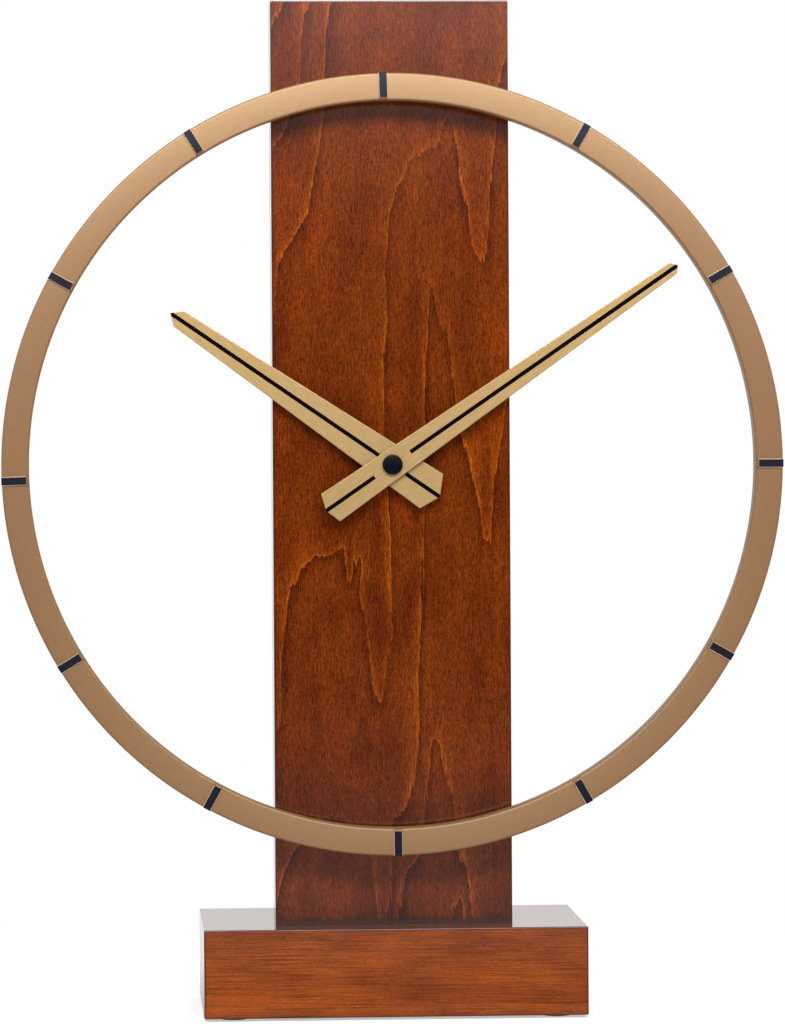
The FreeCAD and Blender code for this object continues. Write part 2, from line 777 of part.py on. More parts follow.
def make_second_wheel():
    return joined(
        gear(second_teeth, second_module, -train_shift, centre, own_phase,
             second_level, second_level + wheel_thick),
        gear(second_pinion_teeth, third_module, train_shift, centre, second_pinion_phase,
             third_level - pinion_over, second_level),
        disc(centre, bushing_front + end_shake, plate_front - end_shake, second_arbor_radius),
        disc(centre, plate_front - 2 * end_shake, plate_back, pivot_radius))


def make_third_wheel():
    return joined(
        gear(third_teeth, third_module, -train_shift, third_at, own_phase,
             third_level, third_level + wheel_thick),
        gear(third_pinion_teeth, centre_module, train_shift, third_at, third_pinion_phase,
             centre_level - pinion_over, third_level),
        arbor(third_at))


def make_intermediate_wheel():
    return joined(
        gear(intermediate_teeth, rotor_module, -train_shift, intermediate_at, own_phase,
             intermediate_level, intermediate_level + wheel_thick),
        gear(intermediate_pinion_teeth, second_module, train_shift, intermediate_at,
             intermediate_pinion_phase, second_level - pinion_over, intermediate_level),
        arbor(intermediate_at))


def make_rotor_pinion():
    return joined(
        gear(rotor_teeth, rotor_module, train_shift, rotor_at, rotor_phase,
             intermediate_level - pinion_over, intermediate_level + wheel_thick + pinion_over),
        arbor(rotor_at))


def make_rotor_magnet():
    return tube(rotor_at, magnet_front, magnet_front + magnet_length, magnet_radius, arbor_radius)


def make_reversing_wheel():
    back = cannon_level + wheel_thick
    wheel = joined(
        gear(reversing_teeth, motion_module, -motion_shift, reversing_at, reversing_phase,
             cannon_level, back),
        gear(reversing_pinion_teeth, motion_module, motion_shift, reversing_at, own_phase,
             hour_level - pinion_over, cannon_level))
    return wheel.cut(disc(reversing_at, hour_level - pinion_over, back, stud_radius + run_gap))


def make_set_knob():
    front = inside_front + end_shake
    knob = joined(
        gear(knob_teeth, motion_module, motion_shift, knob_at, knob_phase,
             cannon_level - pinion_over, cannon_level + wheel_thick + pinion_over),
        disc(knob_at, front + end_shake - pivot_length, front + end_shake, pivot_radius),
        disc(knob_at, front, case_back + 2 * end_shake, knob_shaft_radius),
        disc(knob_at, case_back + end_shake, panel_back, knob_radius))
    for flute in range(knob_flutes):
        at = beside(knob_at, knob_radius, 2 * math.pi * flute / knob_flutes)
        knob = knob.cut(disc(at, case_back, panel_back, knob_radius / knob_flutes))
    return knob


# ---------------------------------------------------------------- motor and electronics
def make_stator():
    bottom = rotor_at[1] - stator_hole - stator_neck
    top = rotor_at[1] + stator_hole + stator_neck
    pole_left = rotor_at[0] - stator_hole - stator_side
    arm_top = coil_z + coil_core_width / 2 + stator_neck
    bar_bottom = top - stator_side / 2
    outline = [
        (pole_left, bottom), (stator_right, bottom), (stator_right, arm_top),
        (stator_right - stator_arm, arm_top), (stator_right - stator_arm, top),
        (stator_left + stator_arm, top), (stator_left + stator_arm, arm_top),
        (stator_left, arm_top), (stator_left, bar_bottom), (pole_left, bar_bottom)]
    plate = prism(outline, stator_front, stator_back)
    plate = plate.cut(disc(rotor_at, stator_front, stator_back, stator_hole))
    for at in arm_sites:
        plate = plate.cut(disc(at, stator_front, stator_back, post_pin_radius))
    return plate


def make_core_bar():
    half = coil_core_width / 2
    return block(stator_left, stator_right, stator_back, core_back, coil_z - half, coil_z + half)


def make_coil_core():
    core = make_core_bar()
    for at in arm_sites:
        core = core.cut(disc(at, stator_back, core_back, post_pin_radius))
    return core


def coil_rod(x0, x1, radius):
    """A cylinder along X on the coil's axis."""
    return Part.makeCylinder(radius, x1 - x0, Vec(x0, coil_y, dial_z + coil_z), Vec(1, 0, 0))


def make_coil_bobbin():
    bobbin = joined(
        coil_rod(bobbin_left, bobbin_right, bobbin_radius),
        coil_rod(bobbin_left, bobbin_left + coil_flange_thick, coil_flange_radius),
        coil_rod(bobbin_right - coil_flange_thick, bobbin_right, coil_flange_radius))
    return bobbin.cut(make_core_bar())


def make_coil_winding():
    left = bobbin_left + coil_flange_thick
    right = bobbin_right - coil_flange_thick
    return coil_rod(left, right, coil_radius).cut(coil_rod(left, right, bobbin_radius))


def make_circuit_board():
    board = block(board_left, board_right, board_front, board_back, board_bottom, board_top)
    for at in board_posts:
        board = board.cut(disc(at, board_front, board_back, post_pin_radius))
    return board


def make_chip_blob():
    chip = disc((board_middle, board_bottom + board_third), board_back,
                board_back + chip_rise, chip_radius)
    rim = [edge for edge in chip.Edges if edge.BoundBox.YMin > board_back + chip_rise / 2]
    return chip.makeFillet(chip_rise / 2, rim)


def make_quartz_crystal():
    start = Vec(board_middle, board_back + crystal_radius,
                dial_z + board_top - board_third - crystal_length / 2)
    can = Part.makeCylinder(crystal_radius, crystal_length, start)
    return can.makeFillet(crystal_radius / 3, can.Edges)


# ---------------------------------------------------------------- cell and contacts
def cell_rod(x0, x1, radius):
    """A cylinder along X on the cell's axis."""
    return Part.makeCylinder(radius, x1 - x0, Vec(x0, cell_y, dial_z + cell_z), Vec(1, 0, 0))


def make_battery_cell():
    half = cell_length / 2
    return joined(cell_rod(-half, half - cell_button_length, cell_radius),
                  cell_rod(half - cell_button_length, half, cell_button_radius))


def make_positive_contact():
    """A flat plate with a boss to the cell's button, and a strip up to the board."""
    outer = inside_half
    inner = inside_half - contact_thick
    half = contact_width / 2
    plate = block(inner, outer, cell_y - half, cell_y + half, cell_z - half, cell_z + half)
    boss = cell_rod(cell_length / 2, inner, cell_button_radius - contact_thick)
    rise = block(inner, outer, board_back, board_back + lug_width, cell_z,
                 train_floor + contact_thick)
    along = block(board_right - lug_length, outer, board_back, board_back + lug_width,
                  train_floor, train_floor + contact_thick)
    lug = block(board_right - lug_length, board_right, board_back, board_back + contact_thick,
                train_floor, board_bottom + lug_length)
    return joined(plate, boss, rise, along, lug)


def make_negative_contact():
    """A plate with a bowed leaf that presses on the cell's flat end, and a strip to the board."""
    outer = -inside_half
    inner = outer + contact_thick
    half = contact_width / 2
    face = -cell_length / 2
    plate = block(outer, inner, cell_y - half, cell_y + half, cell_z - half, cell_z + half)
    crest = contact_crest / 2
    bow = prism([(inner, cell_z + half), (face, cell_z + crest), (face, cell_z - crest),
                 (inner, cell_z - half)], cell_y - half / 2, cell_y + half / 2)
    hollow = prism([(inner, cell_z + half - 2 * contact_thick),
                    (face - contact_thick, cell_z + crest - contact_thick),
                    (face - contact_thick, cell_z - crest + contact_thick),
                    (inner, cell_z - half + 2 * contact_thick)],
                   cell_y - half / 2, cell_y + half / 2)
    rise = block(outer, inner, contact_front, contact_front + lug_width, cell_z,
                 board_bottom + lug_length)
    turn_in = block(outer, inner, contact_front, board_front, board_bottom,
                    board_bottom + lug_length)
    lug = block(outer, board_left + lug_width, board_front - contact_thick, board_front,
                board_bottom, board_bottom + lug_length)
    return joined(plate, bow.cut(hollow), rise, turn_in, lug)


# ---------------------------------------------------------------- the parts
parts = {
    "base_block": make_base_block(),
    "base_feet": make_base_feet(),
    "base_screws": make_base_screws(),
    "panel_dowels": make_panel_dowels(),
    "upright_panel": make_upright_panel(),
    "dial_ring": make_dial_ring(),
    "ring_spacers": make_ring_spacers(),
    "ring_screws": make_ring_screws(),
    "hour_hand": make_hour_hand(),
    "hour_hand_stripes": make_hour_hand_stripes(),
    "hour_hand_collet": make_hour_hand_collet(),
    "minute_hand": make_minute_hand(),
    "minute_hand_stripes": make_minute_hand_stripes(),
    "minute_hand_collet": make_minute_hand_collet(),
    "centre_cap": make_centre_cap(),
    "movement_front_shell": make_movement_front_shell(),
    "movement_back_cover": make_movement_back_cover(),
    "bearing_plate": make_bearing_plate(),
    "threaded_bushing": make_threaded_bushing(),
    "rubber_washer": make_rubber_washer(),
    "flat_washer": make_flat_washer(),
    "hex_nut": make_hex_nut(),
    "hour_wheel": make_hour_wheel(),
    "minute_arbor": make_minute_arbor(),
    "centre_wheel": make_centre_wheel(),
    "second_wheel": make_second_wheel(),
    "third_wheel": make_third_wheel(),
    "intermediate_wheel": make_intermediate_wheel(),
    "rotor_pinion": make_rotor_pinion(),
    "rotor_magnet": make_rotor_magnet(),
    "reversing_wheel": make_reversing_wheel(),
    "set_knob": make_set_knob(),
    "stator": make_stator(),
    "coil_core": make_coil_core(),
    "coil_bobbin": make_coil_bobbin(),
    "coil_winding": make_coil_winding(),
    "circuit_board": make_circuit_board(),
    "chip_blob": make_chip_blob(),
    "quartz_crystal": make_quartz_crystal(),
    "battery_cell": make_battery_cell(),
    "positive_contact": make_positive_contact(),
    "negative_contact": make_negative_contact(),
}

hour_mark = make_hour_mark()
mark_inlay = make_mark_inlay()
mark_turns = [math.radians(360 * hour / hours + offset)
              for hour, offset in zip(range(1, hours + 1), mark_offsets)]
for hour, turn in enumerate(mark_turns, start=1):
    parts[f"hour_mark_{hour:02d}"] = turned(hour_mark, turn)
parts["mark_inlays"] = Part.makeCompound([turned(mark_inlay, turn) for turn in mark_turns])

for name, shape in parts.items():
    if not shape.isValid():
        print("not valid:", name)
    shape.exportStep(f"parts/{name}.step")
print(len(parts), "parts written")
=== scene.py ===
import bpy
import math
from mathutils import Matrix, Vector


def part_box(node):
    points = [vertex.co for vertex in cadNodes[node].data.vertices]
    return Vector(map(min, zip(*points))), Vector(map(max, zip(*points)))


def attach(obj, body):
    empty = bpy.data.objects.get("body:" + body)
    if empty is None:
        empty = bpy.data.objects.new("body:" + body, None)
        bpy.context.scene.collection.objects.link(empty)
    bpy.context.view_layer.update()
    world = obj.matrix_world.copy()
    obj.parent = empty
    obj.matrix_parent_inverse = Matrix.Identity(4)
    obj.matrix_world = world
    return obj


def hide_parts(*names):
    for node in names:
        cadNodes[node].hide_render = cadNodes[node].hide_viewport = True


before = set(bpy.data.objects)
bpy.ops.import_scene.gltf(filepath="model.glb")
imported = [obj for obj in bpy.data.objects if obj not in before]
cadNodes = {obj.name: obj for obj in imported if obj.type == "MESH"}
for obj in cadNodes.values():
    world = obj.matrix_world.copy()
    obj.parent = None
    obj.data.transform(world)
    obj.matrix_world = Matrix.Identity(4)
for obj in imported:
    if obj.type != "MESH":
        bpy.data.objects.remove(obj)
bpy.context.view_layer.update()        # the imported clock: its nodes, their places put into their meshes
mm = 0.001
tiny = 0.01 * mm  # how far off a place may be and still count as on it
along, across = 0.9, 0.3  # the share of a direction that counts as along an axis, or as off it
print("frame loaded:", len(cadNodes), "nodes")

ringLow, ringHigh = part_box("dial_ring")
dialCentre = Vector((0, 0, (ringLow.z + ringHigh.z) / 2))
panelLow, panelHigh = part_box("upright_panel")
baseLow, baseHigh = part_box("base_block")
ringWidth = 11.8 * mm
ringRadius = (ringHigh.x - ringLow.x) / 2
ringInner = ringRadius - ringWidth
ringFront, ringBack = ringLow.y, ringHigh.y


def linearColour(hexText):  # an sRGB hex colour as linear red, green, blue and alpha
    parts = [int(hexText[i:i + 2], 16) / 255 for i in (1, 3, 5)]
    linear = [part / 12.92 if part <= 0.04045 else ((part + 0.055) / 1.055) ** 2.4 for part in parts]
    return (*linear, 1.0)


def addNode(tree, kind, inputs=(), stops=(), points=(), **settings):
    # one shader node: its settings, its inputs by name or in order, set or linked, and a ramp's stops or a
    # curve's points
    node = tree.nodes.new("ShaderNode" + kind)
    for name, value in settings.items():
        setattr(node, name, value)
    for name, value in inputs.items() if isinstance(inputs, dict) else enumerate(inputs):
        if isinstance(value, bpy.types.Node):
            value = next(socket for socket in value.outputs if socket.enabled)
        if isinstance(value, bpy.types.NodeSocket):
            tree.links.new(value, node.inputs[name])
        else:
            node.inputs[name].default_value = value
    for index, (place, colour) in enumerate(stops):
        elements = node.color_ramp.elements
        element = elements[index] if index < len(elements) else elements.new(place)
        element.position = place
        element.color = linearColour(colour) if isinstance(colour, str) else (colour, colour, colour, 1)
    for index, (place, height) in enumerate(points):
        curve = node.mapping.curves[0]
        if index in (0, len(points) - 1):
            curve.points[0 if index == 0 else -1].location = (place, height)
        else:
            curve.points.new(place, height)
    if points:
        for point in node.mapping.curves[0].points:
            point.handle_type = "AUTO_CLAMPED"
        node.mapping.update()
    return node


def startMaterial(name, **sockets):  # a new material, its tree and its Principled shader
    material = bpy.data.materials.new(name)
    material.use_nodes = True
    shader = material.node_tree.nodes["Principled BSDF"]
    for socket, value in sockets.items():
        shader.inputs[socket.replace("_", " ")].default_value = value
    return material, material.node_tree, shader


def joinSurface(tree, shader, colour, height, strength, depth):
    # gives the shader its colour, and a relief from a height, its depth in millimetres
    tree.links.new(colour.outputs[0], shader.inputs["Base Color"])
    relief = addNode(tree, "Bump", {"Height": height, "Strength": strength, "Distance": depth * mm})
    tree.links.new(relief.outputs[0], shader.inputs["Normal"])


def inMillimetres(tree, stretch=(1, 1, 1)):  # object coordinates in millimetres, times stretch
    place = addNode(tree, "TexCoord")
    return addNode(tree, "VectorMath", [place.outputs["Object"], [way / mm for way in stretch]],
                   operation="MULTIPLY")


def fromAxis(tree, place):  # straight out from the hands' axis to each point, in millimetres
    fromCentre = addNode(tree, "VectorMath", [place, dialCentre / mm], operation="SUBTRACT")
    return addNode(tree, "VectorMath", [fromCentre, (1, 0, 1)], operation="MULTIPLY")


def readCurve(tree, value, points):  # a value read off a drawn curve
    places, heights = zip(*points)
    low, span = min(heights), max(heights) - min(heights)
    share = addNode(tree, "MapRange", {"Value": value, "From Min": places[0], "From Max": places[-1]})
    drawn = [((place - places[0]) / (places[-1] - places[0]), (height - low) / span)
             for place, height in points]
    curve = addNode(tree, "FloatCurve", {"Value": share}, points=drawn)
    return addNode(tree, "Math", [curve, span, low], operation="MULTIPLY_ADD")


def dress(names, material):  # gives CAD nodes their finish
    for name in names:
        node = cadNodes[name]
        node.data.materials.clear()
        node.data.materials.append(material)


def deselect():
    if bpy.context.mode != "OBJECT":
        bpy.ops.object.mode_set(mode="OBJECT")
    bpy.ops.object.select_all(action="DESELECT")


def choose(piece):  # one piece alone selected and active, in object mode
    deselect()
    piece.select_set(True)
    bpy.context.view_layer.objects.active = piece


def editPiece(piece, elements="FACE"):  # edit mode on one piece, with nothing in it selected
    choose(piece)
    bpy.ops.object.mode_set(mode="EDIT")
    bpy.ops.mesh.select_mode(type=elements)
    bpy.ops.mesh.select_all(action="DESELECT")


def pick(piece, elements, test):
    # selects the faces that pass by their middle and normal, or the edges by their middle and direction
    bpy.ops.mesh.select_all(action="DESELECT")
    bpy.ops.mesh.select_mode(type=elements)
    bpy.ops.object.mode_set(mode="OBJECT")
    mesh = piece.data
    if elements == "FACE":
        for face in mesh.polygons:
            face.select = test(face.center, face.normal)
    else:
        for edge in mesh.edges:
            a, b = (mesh.vertices[i].co for i in edge.vertices)
            edge.select = test((a + b) / 2, (b - a).normalized())
    bpy.ops.object.mode_set(mode="EDIT")


def finishPiece(piece, name, material, angle=35):
    # puts its place into its mesh and shades it smooth where its faces meet at less than the angle
    choose(piece)
    bpy.ops.object.transform_apply(location=True, rotation=True, scale=True)
    bpy.ops.object.shade_smooth_by_angle(angle=math.radians(angle))
    piece.name = piece.data.name = name
    piece.data.materials.clear()
    piece.data.materials.append(material)
    return piece


def addBlock(low, high):  # a block between two corners, in edit mode
    deselect()
    middle = [(a + b) / 2 for a, b in zip(low, high)]
    bpy.ops.mesh.primitive_cube_add(size=1, location=middle)
    piece = bpy.context.object
    piece.scale = [b - a for a, b in zip(low, high)]
    bpy.ops.object.transform_apply(location=True, rotation=True, scale=True)
    editPiece(piece)
    return piece


def turnOnDial(piece, bearing):  # from the world's middle to the dial's, clockwise from twelve
    bpy.ops.object.mode_set(mode="OBJECT")
    piece.location = dialCentre
    piece.rotation_euler = (0, bearing, 0)


ringFinish = {"colour": "#765132", "deepColour": "#704D2E", "edgeTint": "#D7DFB5", "roughness": 0.46,
              "brushed": 0.6, "speck": 0.9, "metal": 0.35, "gloss": 1.0, "coat": 0.4, "coatRoughness": 0.5}


def copperGoldPaint():
    # copper-gold metallic paint over a turned ring, under clear lacquer: even at the sides, and a soft pale
    # light drawn out across the turning marks where the ring runs level
    material, tree, shader = startMaterial(
        "satinCopperGoldPaint", Metallic=ringFinish["metal"], Roughness=ringFinish["roughness"],
        Anisotropic=ringFinish["brushed"], Coat_Weight=ringFinish["coat"],
        Coat_Roughness=ringFinish["coatRoughness"], Specular_IOR_Level=ringFinish["gloss"],
        Specular_Tint=linearColour(ringFinish["edgeTint"]))
    place = inMillimetres(tree)
    tangent = addNode(tree, "VectorMath", [fromAxis(tree, place)], operation="NORMALIZE")
    tree.links.new(tangent.outputs[0], shader.inputs["Tangent"])
    flakes = addNode(tree, "TexNoise", {"Vector": place, "Scale": ringFinish["speck"], "Detail": 3.0})
    colour = addNode(tree, "ValToRGB", [flakes],
                     stops=((0.35, ringFinish["deepColour"]), (0.65, ringFinish["colour"])))
    joinSurface(tree, shader, colour, flakes, 0.05, 0.05)
    return material


# colour and deepColour are the flanks' pale rose gold: a painted highlight along the mark's sides
markFinish = {"colour": "#D8BCA8", "deepColour": "#CDAE98", "speck": 1.2, "roughness": 0.35, "metal": 0.35,
              "lip": 1.15}  # the lip is the millimetres at the inner end that are painted as the ring


def roseGoldPaintAndPaintedHighlight():
    # the marks' own paint: the ring's copper-gold on the lip, and on the flanks beside the dark strip a
    # pale rose gold, much paler than the paint, which is a painted highlight along the mark's sides
    material, tree, shader = startMaterial(
        "roseGoldPaintAndPaintedHighlight", Metallic=markFinish["metal"], Roughness=markFinish["roughness"])
    place = inMillimetres(tree)
    flakes = addNode(tree, "TexNoise", {"Vector": place, "Scale": markFinish["speck"], "Detail": 3.0})
    pale = addNode(tree, "ValToRGB", [flakes],
                   stops=((0.3, markFinish["deepColour"]), (0.7, markFinish["colour"])))
    radius = addNode(tree, "VectorMath", [fromAxis(tree, place)], operation="LENGTH")
    # outside the lip, the flanks take the pale rose gold, a painted highlight
    highlightedFlank = addNode(tree, "Math", [radius.outputs["Value"], ringInner / mm + markFinish["lip"]],
                    operation="GREATER_THAN")
    colour = addNode(tree, "MixRGB", [highlightedFlank, linearColour(ringFinish["deepColour"]), pale])
    joinSurface(tree, shader, colour, flakes, 0.05, 0.02)
    return material


handFinish = {"colour": "#997F53", "deepColour": "#8E7348", "roughness": 0.42, "metal": 0.55,
              "fine": 0.35, "run": 5.0}  # a rolling line's width and length in millimetres


def champagneAluminium(bearing):
    # rolled aluminium sheet, etched and anodised champagne gold: an even satin, with the fine rolling lines
    # showing along the hand
    material, tree, shader = startMaterial(
        "champagneAnodisedAluminium", Metallic=handFinish["metal"], Roughness=handFinish["roughness"])
    turned = addNode(tree, "VectorRotate", {"Vector": inMillimetres(tree), "Center": dialCentre / mm,
                                            "Axis": (0, 1, 0), "Angle": -bearing})
    drawn = addNode(tree, "VectorMath", [turned, (1 / handFinish["fine"], 1, 1 / handFinish["run"])],
                    operation="MULTIPLY")
    lines = addNode(tree, "TexNoise", {"Vector": drawn, "Scale": 1.0, "Detail": 3.0})
    colour = addNode(tree, "ValToRGB", [lines],
                     stops=((0.35, handFinish["deepColour"]), (0.65, handFinish["colour"])))
    joinSurface(tree, shader, colour, lines, 0.1, 0.03)
    return material


def fineGrain(name, colour, paleColour, roughness=0.5, grainSize=0.5, depth=0.03, stretch=(1, 1, 1),
              **sockets):
    # moulded plastic, rubber, resin, ink or cut wood: a fine even grain that breaks up the gloss
    material, tree, shader = startMaterial(name, Roughness=roughness, IOR=1.5, **sockets)
    grain = addNode(tree, "TexNoise", {"Vector": inMillimetres(tree, stretch), "Scale": 1 / grainSize,
                                       "Detail": 2.0})
    tint = addNode(tree, "ValToRGB", [grain], stops=((0.3, colour), (0.7, paleColour)))
    joinSurface(tree, shader, tint, grain, 0.5, depth)
    return material


def workedMetal(name, colour, paleColour, roughness=0.3, lineSize=0.3, stretch=(1, 1, 0.1)):
    # bare metal, drawn, turned, ground or rolled: fine lines one way that scatter the highlight
    material, tree, shader = startMaterial(name, Metallic=1.0, Roughness=roughness)
    lines = addNode(tree, "TexNoise", {"Vector": inMillimetres(tree, stretch), "Scale": 1 / lineSize,
                                       "Detail": 3.0})
    tint = addNode(tree, "ValToRGB", [lines], stops=((0.3, colour), (0.7, paleColour)))
    joinSurface(tree, shader, tint, lines, 0.3, 0.02)
    return material


# tight is the least slope that counts, reach the step in millimetres that the slope is taken over, span the
# millimetres each side of a line over which it dies away, edge the width that is darkened along the edges,
# and the foot's darkness a painted shade where the block stands on what is below it
veneer = {"tight": 0.004, "reach": 0.2, "span": 10.0, "fadeFrom": 0.38, "fadeTo": 0.58, "faintest": 0.5,
          "edge": 1.4, "edgeDark": 0.75, "paintedFootShade": 0.9, "edgeAndShadeColour": "#2A1008"}
# each noise: how wide it is across the grain, how far it runs along it, its detail and its place
streakNoise, waveNoise = (0.9, 14.0, 2.0, 0.0), (8.0, 60.0, 2.0, 7.0)
blotchNoise, hazeNoise = (9.0, 24.0, 4.0, 11.0), (30.0, 70.0, 2.0, 13.0)
fibreNoise, cellNoise = (0.5, 3.2, 4.0, 5.0), (0.32, 1.1, 1.0, 17.0)
grainLineNoise, fadeNoise = (0.35, 30.0, 3.0, 23.0), (20.0, 40.0, 2.0, 3.0)
streakShift, waveShift = 3.0, 9.0  # millimetres that the first two push the growth lines about


def stainedVeneer(name, makeLines, block, tone):
    # sliced maple under red-brown stain and a thin clear lacquer. Each growth line is a fine orange edge,
    # purple-brown on one side and fading on the other; short fibres and soft stain blotches run along the
    # grain. Real fibres don't show at this size, so they are drawn half a millimetre wide
    material, tree, shader = startMaterial(
        name, Roughness=0.6, Specular_IOR_Level=0.0, Coat_Weight=1.0, Coat_Roughness=0.1, Coat_IOR=1.5)
    place = inMillimetres(tree)

    def noise(size, run, detail, shift):
        stretch = [1 / size + (1 / run - 1 / size) * way for way in tone["grain"]]
        drawn = addNode(tree, "VectorMath", [place, stretch, (shift, shift, shift)],
                        operation="MULTIPLY_ADD")
        return addNode(tree, "TexNoise", {"Vector": drawn, "Scale": 1.0, "Detail": detail})

    # the growth lines and how close they lie, from the rise between points a little way apart
    lines = makeLines(tree, place)
    rises = []
    for step in ((1, 1, 0), (0, 0, 1)):
        aside = addNode(tree, "VectorMath", [place, Vector(step) * veneer["reach"]], operation="ADD")
        rise = addNode(tree, "Math", [makeLines(tree, aside), lines], operation="SUBTRACT")
        rises.append(addNode(tree, "Math", [rise, 2.0], operation="POWER"))
    slope = addNode(tree, "Math", [addNode(tree, "Math", rises, operation="ADD")], operation="SQRT")
    slope = addNode(tree, "Math", [slope, veneer["reach"]], operation="DIVIDE")
    slope = addNode(tree, "Math", [slope, veneer["tight"]], operation="MAXIMUM")
    for kind, shift in ((streakNoise, streakShift), (waveNoise, waveShift)):
        centred = addNode(tree, "Math", [noise(*kind), 0.5], operation="SUBTRACT")
        push = addNode(tree, "Math", [centred, slope], operation="MULTIPLY")
        lines = addNode(tree, "Math", [push, shift, lines], operation="MULTIPLY_ADD")
    past = addNode(tree, "Math", [lines], operation="FRACT")
    left = addNode(tree, "Math", [1.0, past], operation="SUBTRACT")
    spans = []
    for way in (past, left):
        inMm = addNode(tree, "Math", [way, slope], operation="DIVIDE")
        spans.append(addNode(tree, "Math", [inMm, veneer["span"]], operation="DIVIDE"))
    dark = addNode(tree, "ValToRGB", [spans[0]], stops=((0.0, 0.75), (0.1, 0.62), (0.3, 0.25), (0.8, 0.0)))
    pale = addNode(tree, "ValToRGB", [spans[1]],
                   stops=((0.0, 0.95), (0.05, 0.85), (0.1, 0.34), (0.3, 0.12), (0.9, 0.0)))

    # the lines come and go
    fade = addNode(tree, "MapRange", {
        "Value": noise(*fadeNoise), "From Min": veneer["fadeFrom"], "From Max": veneer["fadeTo"],
        "To Min": veneer["faintest"] * tone["lines"], "To Max": tone["lines"]})
    colour = linearColour(tone["base"])
    for profile, tint in ((dark, tone["deep"]), (pale, tone["pale"])):
        share = addNode(tree, "Math", [profile, fade], operation="MULTIPLY")
        colour = addNode(tree, "MixRGB", [share, colour, linearColour(tint)])

    # stain blotches, orange where it took lightly and purple-brown where it soaked in; then fibres, the
    # fine cells between them and long grain lines
    tints = ((blotchNoise, 1.0, ((0.3, "#BFA9B4"), (0.5, "#D6CCC6"), (0.7, "#EAD9C0"))),
             (hazeNoise, 1.0, ((0.35, "#CDBDC0"), (0.65, "#E6DCD0"))),
             (fibreNoise, tone["texture"], ((0.3, "#A092A8"), (0.5, "#DED6D2"), (0.7, "#FFF2D8"))),
             (cellNoise, tone["texture"], ((0.3, "#B8AEBE"), (0.6, "#FFFAF4"))),
             (grainLineNoise, tone["drawn"], ((0.35, "#BCA8A0"), (0.5, "#E8E0DA"), (0.65, "#FFF4E0"))))
    for kind, share, stops in tints:
        tint = addNode(tree, "ValToRGB", [noise(*kind)], stops=stops)
        colour = addNode(tree, "MixRGB", [share, colour, tint], blend_type="MULTIPLY")

    # darker along the edges, close to two of the block's faces at once, and a painted shade at the foot
    nearness = []
    spot = addNode(tree, "SeparateXYZ", [place])
    for axis, low, high in zip("XYZ", *block):
        offset = addNode(tree, "Math", [spot.outputs[axis], (low + high) / 2 / mm], operation="SUBTRACT")
        offset = addNode(tree, "Math", [offset], operation="ABSOLUTE")
        nearness.append(addNode(tree, "Math", [(high - low) / 2 / mm, offset], operation="SUBTRACT"))
    first, second, third = nearness
    nearer = addNode(tree, "Math", [first, second], operation="MINIMUM")
    farther = addNode(tree, "Math", [first, second], operation="MAXIMUM")
    farther = addNode(tree, "Math", [farther, third], operation="MINIMUM")
    middle = addNode(tree, "Math", [nearer, farther], operation="MAXIMUM")
    edge = addNode(tree, "MapRange", {
        "Value": middle, "From Min": 0.0, "From Max": veneer["edge"], "To Min": veneer["edgeDark"],
        "To Max": 0.0}, interpolation_type="SMOOTHSTEP")
    # a painted shade at the foot, where the block stands on what is below it
    foot = addNode(tree, "MapRange", {
        "Value": spot.outputs["Z"], "From Min": block[0].z / mm, "From Max": block[0].z / mm + tone["foot"],
        "To Min": veneer["paintedFootShade"], "To Max": 0.0}, interpolation_type="SMOOTHSTEP")
    # the darker edges and the painted shade at the foot, laid on in one dark colour
    darkEdgesAndFootShade = addNode(tree, "Math", [edge, foot], operation="MAXIMUM")
    colour = addNode(tree, "MixRGB", [darkEdgesAndFootShade, colour, linearColour(veneer["edgeAndShadeColour"])])
    joinSurface(tree, shader, colour, noise(*fibreNoise), 0.2, 0.03)
    return material


# the panel's growth lines are the contours of a hilly surface, its height counted in lines
panelDrop = (  # how far the surface falls away from its crest, by place across in millimetres
    (-52, 2.05), (-44, 1.66), (-37, 1.55), (-24, 1.52), (-19, 1.55), (-12, 1.5), (-7, 1.4), (-3, 1.2),
    (1, 1.08), (4, 1.08), (7.5, 1.02), (10, 0.85), (13, 0.52), (16, 0.14), (19, 0.02), (23, 0.04),
    (27, 0.14), (31, 0.28), (37, 0.43), (41, 0.52), (45, 0.36), (52, 0.2))
panelClimb = (  # how high the crest is, by height in millimetres
    (39, 3.08), (54, 2.93), (80, 2.5), (115, 2.02), (160, 1.76), (206, 1.52), (260, 1.24), (305, 0.97),
    (345, 0.48), (386, -0.1), (440, -0.85))
panelSwells = (  # local swells and hollows: across, height, half width, half length, lines
    (-18, 470, 20, 115, 1.65), (-44, 440, 11, 80, -0.65), (-50, 320, 9, 60, 0.12), (3, 452, 12, 55, 0.95),
    (8, 345, 10, 40, 0.72), (9, 368, 3.5, 9, 0.16), (27, 388, 6, 26, 0.26), (16.5, 388, 5, 16, -0.42),
    (52, 400, 10, 70, 0.75), (38, 448, 7, 30, 0.35), (37, 325, 6, 32, -0.3), (-32, 208, 14, 9, -0.05),
    (-18.5, 196, 2.2, 9, -0.16), (-4, 170, 5.5, 48, -0.95), (-9, 183, 4, 7, -0.3),
    (18.3, 112, 3, 10, 0.12), (4, 92, 5.5, 42, -0.32), (-28, 92, 14, 35, 0.12), (-4, 50, 5.5, 30, -1.0),
    (6, 54, 5, 25, 0.55), (46, 50, 18, 55, -1.2), (29, 44, 2.8, 12, 1.15))
panelSide = {"skin": 0.4, "spacing": 8.0, "slant": 0.006}  # how near a side counts, and its lines


